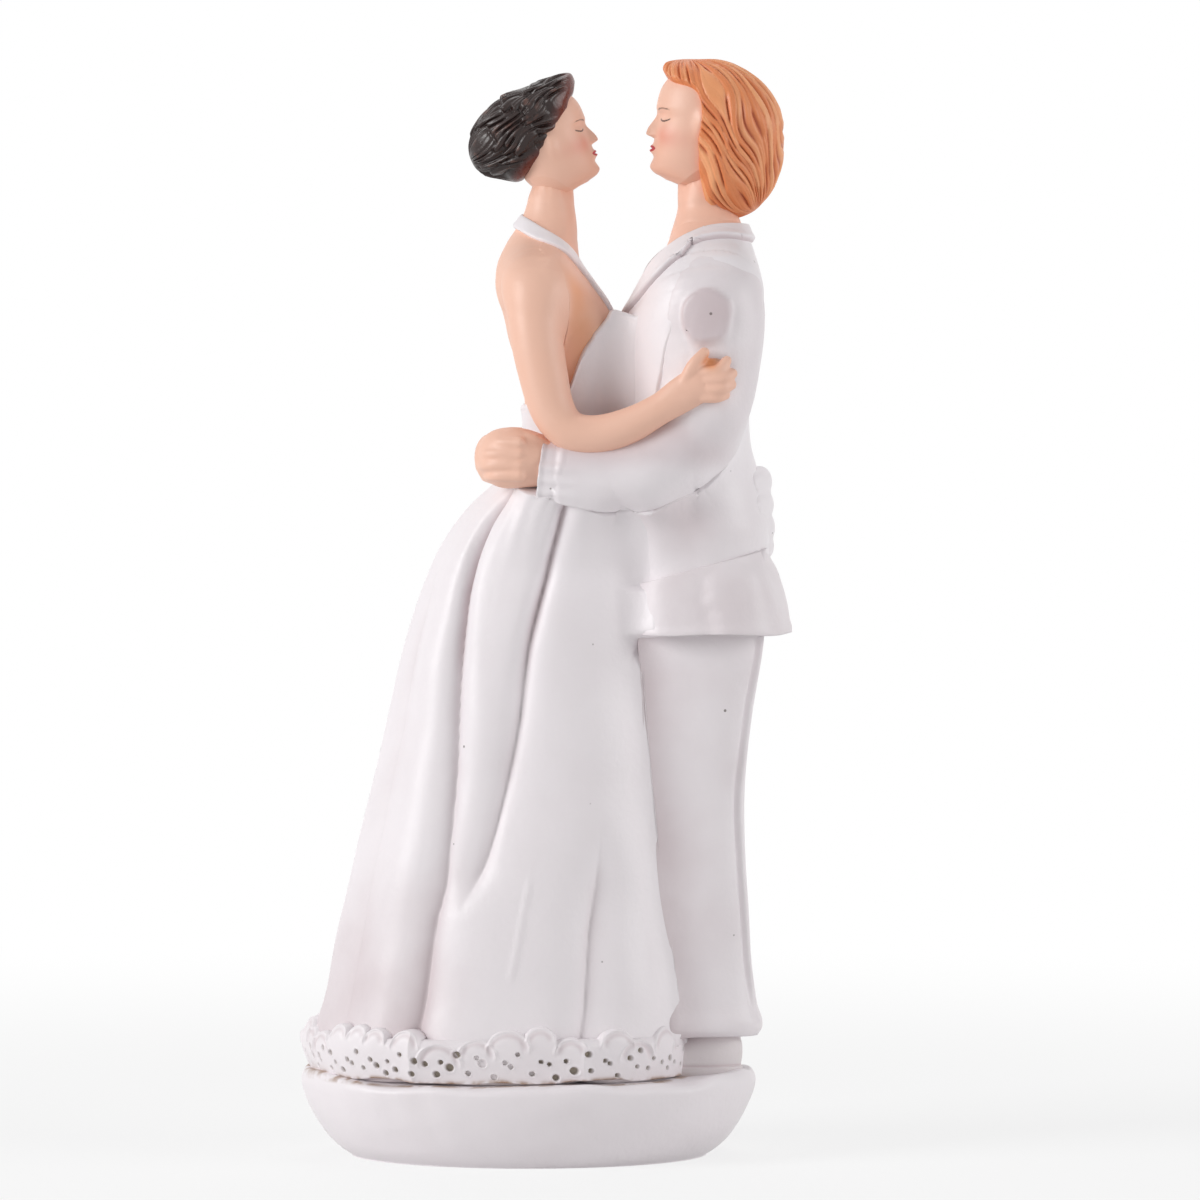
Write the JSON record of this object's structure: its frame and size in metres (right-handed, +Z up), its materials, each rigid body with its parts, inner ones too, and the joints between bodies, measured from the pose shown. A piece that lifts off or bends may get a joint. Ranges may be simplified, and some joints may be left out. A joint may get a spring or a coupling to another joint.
{
  "type": "wedding cake topper",
  "caption": "Painted resin figurine of a couple embracing on an oval base, in a halter gown with a lace hem and a white trouser suit, to stand on a cake.",
  "frame": {"origin": "centre of the base's underside, on the surface that the topper stands on", "axes": "+Z up, +X from the figure in the gown to the figure in the suit, -Y towards the viewer in the picture"},
  "size_m": [0.0624, 0.041, 0.1401],
  "materials": {
    "white_resin": "satin white paint on cast resin",
    "skin_paint": "satin skin-tone paint on cast resin",
    "dark_hair_paint": "glossy dark brown paint on cast resin",
    "ginger_hair_paint": "satin ginger paint on cast resin",
    "shoe_paint": "satin pale grey paint on cast resin"
  },
  "bodies": {
    "root": {"base": "white_resin", "gown_skirt": "white_resin", "lace_hem": "white_resin", "gown_torso": "skin_paint", "gown_bodice": "white_resin", "halter_strap": "white_resin", "gown_head": "skin_paint", "gown_hair": "dark_hair_paint", "near_gown_arm": "skin_paint", "far_gown_arm": "skin_paint", "suit_head": "skin_paint", "suit_hair": "ginger_hair_paint", "jacket_body": "white_resin", "jacket_lapels": "white_resin", "jacket_peplum": "white_resin", "waist_knot": "white_resin", "suit_trousers": "white_resin", "near_sleeve": "white_resin", "far_sleeve": "white_resin", "near_suit_hand": "skin_paint", "far_suit_hand": "skin_paint", "near_shoe": "shoe_paint", "far_shoe": "shoe_paint"}
  },
  "joints": []
}
